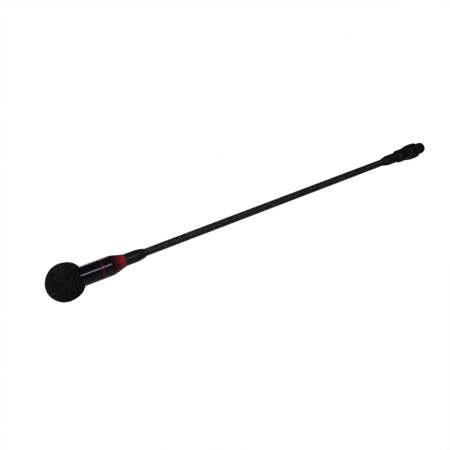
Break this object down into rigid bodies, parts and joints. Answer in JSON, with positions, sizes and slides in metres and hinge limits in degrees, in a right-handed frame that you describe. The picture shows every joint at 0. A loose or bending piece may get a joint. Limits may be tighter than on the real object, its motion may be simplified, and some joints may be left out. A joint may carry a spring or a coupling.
{
  "type": "gooseneck podium microphone",
  "caption": "Gooseneck podium microphone: foam-covered head with a red light cone on a long bendable neck, ending in a screw-lock plug.",
  "frame": {"origin": "centre of the plug's end, on the microphone's axis", "axes": "+Z along the straight neck from the plug up to the foam windscreen; +X and +Y are across the neck. The neck's hinges turn alternately about the axes A and B, which are X and Y turned by 22.5 degrees about +Z, A from +X towards +Y and B from +Y towards -X"},
  "size_m": [0.034, 0.034, 0.4112],
  "materials": {
    "foam": "matte open-cell foam",
    "gloss_black": "gloss black lacquer",
    "satin_black": "satin black",
    "neck_wire": "semi-matt black wire",
    "plug_metal": "satin black plate",
    "boot_rubber": "matt black rubber",
    "holder_rubber": "matt black rubber",
    "red_lens": "clear red, polished",
    "red_ring": "dark clear red, polished",
    "nickel": "bright nickel plate",
    "gold_contact": "gold-plated",
    "insulator": "moulded black",
    "washer_plastic": "moulded black nylon",
    "spring_steel": "phosphated spring steel",
    "black_screw": "black oxide",
    "brass": "machined",
    "spine_metal": "machined",
    "grille_metal": "semi-matt black",
    "capsule_metal": "drawn can",
    "circuit_board": "solder mask",
    "lamp": "clear lens",
    "lead_wire": "insulated wire",
    "cable_jacket": "soft jacket"
  },
  "bodies": {
    "plug": {"plug_body": "plug_metal", "contact_barrel": "nickel", "contact_insulator": "insulator", "contact_pins": "gold_contact", "ring_washer": "washer_plastic", "plug_grub_screw": "black_screw", "neck_collar": "brass", "neck_boot": "boot_rubber", "plug_leads": "lead_wire", "neck_coil_00": "neck_wire", "cable_00": "cable_jacket"},
    "lock_ring": {"lock_ring": "plug_metal", "ring_clip": "spring_steel"},
    "neck_link_01": {"neck_coil_01": "neck_wire", "cable_01": "cable_jacket"},
    "neck_link_02": {"neck_coil_02": "neck_wire", "cable_02": "cable_jacket"},
    "neck_link_03": {"neck_coil_03": "neck_wire", "cable_03": "cable_jacket"},
    "neck_link_04": {"neck_coil_04": "neck_wire", "cable_04": "cable_jacket"},
    "neck_link_05": {"neck_coil_05": "neck_wire", "cable_05": "cable_jacket"},
    "neck_link_06": {"neck_coil_06": "neck_wire", "cable_06": "cable_jacket"},
    "neck_link_07": {"neck_coil_07": "neck_wire", "cable_07": "cable_jacket"},
    "neck_link_08": {"neck_coil_08": "neck_wire", "cable_08": "cable_jacket"},
    "neck_link_09": {"neck_coil_09": "neck_wire", "cable_09": "cable_jacket"},
    "neck_link_10": {"neck_coil_10": "neck_wire", "cable_10": "cable_jacket"},
    "neck_link_11": {"neck_coil_11": "neck_wire", "cable_11": "cable_jacket"},
    "neck_link_12": {"neck_coil_12": "neck_wire", "cable_12": "cable_jacket"},
    "neck_link_13": {"neck_coil_13": "neck_wire", "cable_13": "cable_jacket"},
    "neck_link_14": {"neck_coil_14": "neck_wire", "cable_14": "cable_jacket"},
    "neck_link_15": {"neck_coil_15": "neck_wire", "cable_15": "cable_jacket"},
    "head": {"upper_ferrule": "satin_black", "ferrule_grub_screw": "black_screw", "head_spine": "spine_metal", "light_cone": "red_lens", "light_board": "circuit_board", "indicator_lamps": "lamp", "rear_band": "gloss_black", "accent_ring": "red_ring", "head_tube": "gloss_black", "grille_cap": "grille_metal", "capsule": "capsule_metal", "capsule_holder": "holder_rubber", "capsule_board": "circuit_board", "head_leads": "lead_wire", "neck_coil_16": "neck_wire", "cable_16": "cable_jacket"},
    "windscreen": {"foam_windscreen": "foam"}
  },
  "joints": [
    {"name": "neck_lower_bend_a", "type": "hinge", "parent": "plug", "child": "neck_link_01", "pos_m": [0, 0, 0.06026], "axis": [0.9239, 0.3827, 0], "range_deg": [-13.75, 13.75]},
    {"name": "neck_lower_bend_b", "type": "hinge", "parent": "neck_link_01", "child": "neck_link_02", "pos_m": [0, 0, 0.07718], "axis": [-0.3827, 0.9239, 0], "range_deg": [-13.75, 13.75]},
    {"name": "neck_lower_bend_a_2", "type": "hinge", "parent": "neck_link_02", "child": "neck_link_03", "pos_m": [0, 0, 0.0941], "axis": [0.9239, 0.3827, 0], "range_deg": [-13.75, 13.75]},
    {"name": "neck_lower_bend_b_2", "type": "hinge", "parent": "neck_link_03", "child": "neck_link_04", "pos_m": [0, 0, 0.11102], "axis": [-0.3827, 0.9239, 0], "range_deg": [-13.75, 13.75]},
    {"name": "neck_lower_bend_a_3", "type": "hinge", "parent": "neck_link_04", "child": "neck_link_05", "pos_m": [0, 0, 0.12793], "axis": [0.9239, 0.3827, 0], "range_deg": [-13.75, 13.75]},
    {"name": "neck_lower_bend_b_3", "type": "hinge", "parent": "neck_link_05", "child": "neck_link_06", "pos_m": [0, 0, 0.14485], "axis": [-0.3827, 0.9239, 0], "range_deg": [-13.75, 13.75]},
    {"name": "neck_lower_bend_a_4", "type": "hinge", "parent": "neck_link_06", "child": "neck_link_07", "pos_m": [0, 0, 0.16177], "axis": [0.9239, 0.3827, 0], "range_deg": [-13.75, 13.75]},
    {"name": "neck_lower_bend_b_4", "type": "hinge", "parent": "neck_link_07", "child": "neck_link_08", "pos_m": [0, 0, 0.17869], "axis": [-0.3827, 0.9239, 0], "range_deg": [-13.75, 13.75]},
    {"name": "neck_upper_bend_a", "type": "hinge", "parent": "neck_link_08", "child": "neck_link_09", "pos_m": [0, 0, 0.19561], "axis": [0.9239, 0.3827, 0], "range_deg": [-11.25, 11.25]},
    {"name": "neck_upper_bend_b", "type": "hinge", "parent": "neck_link_09", "child": "neck_link_10", "pos_m": [0, 0, 0.21253], "axis": [-0.3827, 0.9239, 0], "range_deg": [-11.25, 11.25]},
    {"name": "neck_upper_bend_a_2", "type": "hinge", "parent": "neck_link_10", "child": "neck_link_11", "pos_m": [0, 0, 0.22945], "axis": [0.9239, 0.3827, 0], "range_deg": [-11.25, 11.25]},
    {"name": "neck_upper_bend_b_2", "type": "hinge", "parent": "neck_link_11", "child": "neck_link_12", "pos_m": [0, 0, 0.24637], "axis": [-0.3827, 0.9239, 0], "range_deg": [-11.25, 11.25]},
    {"name": "neck_upper_bend_a_3", "type": "hinge", "parent": "neck_link_12", "child": "neck_link_13", "pos_m": [0, 0, 0.26328], "axis": [0.9239, 0.3827, 0], "range_deg": [-11.25, 11.25]},
    {"name": "neck_upper_bend_b_3", "type": "hinge", "parent": "neck_link_13", "child": "neck_link_14", "pos_m": [0, 0, 0.2802], "axis": [-0.3827, 0.9239, 0], "range_deg": [-11.25, 11.25]},
    {"name": "neck_upper_bend_a_4", "type": "hinge", "parent": "neck_link_14", "child": "neck_link_15", "pos_m": [0, 0, 0.29712], "axis": [0.9239, 0.3827, 0], "range_deg": [-11.25, 11.25]},
    {"name": "neck_upper_bend_b_4", "type": "hinge", "parent": "neck_link_15", "child": "head", "pos_m": [0, 0, 0.31404], "axis": [-0.3827, 0.9239, 0], "range_deg": [-11.25, 11.25]},
    {"name": "lock_ring_turn", "type": "hinge", "parent": "plug", "child": "lock_ring", "pos_m": [0, 0, 0.0094], "axis": [0, 0, 1], "continuous": true},
    {"name": "windscreen_slide", "type": "slide", "parent": "head", "child": "windscreen", "axis": [0, 0, 1], "range_m": [0, 0.03]}
  ],
  "couplings": [
    {"joint": "neck_lower_bend_a_2", "follows": "neck_lower_bend_a", "ratio": 1},
    {"joint": "neck_lower_bend_b_2", "follows": "neck_lower_bend_b", "ratio": 1},
    {"joint": "neck_lower_bend_a_3", "follows": "neck_lower_bend_a", "ratio": 1},
    {"joint": "neck_lower_bend_b_3", "follows": "neck_lower_bend_b", "ratio": 1},
    {"joint": "neck_lower_bend_a_4", "follows": "neck_lower_bend_a", "ratio": 1},
    {"joint": "neck_lower_bend_b_4", "follows": "neck_lower_bend_b", "ratio": 1},
    {"joint": "neck_upper_bend_a_2", "follows": "neck_upper_bend_a", "ratio": 1},
    {"joint": "neck_upper_bend_b_2", "follows": "neck_upper_bend_b", "ratio": 1},
    {"joint": "neck_upper_bend_a_3", "follows": "neck_upper_bend_a", "ratio": 1},
    {"joint": "neck_upper_bend_b_3", "follows": "neck_upper_bend_b", "ratio": 1},
    {"joint": "neck_upper_bend_a_4", "follows": "neck_upper_bend_a", "ratio": 1},
    {"joint": "neck_upper_bend_b_4", "follows": "neck_upper_bend_b", "ratio": 1}
  ]
}
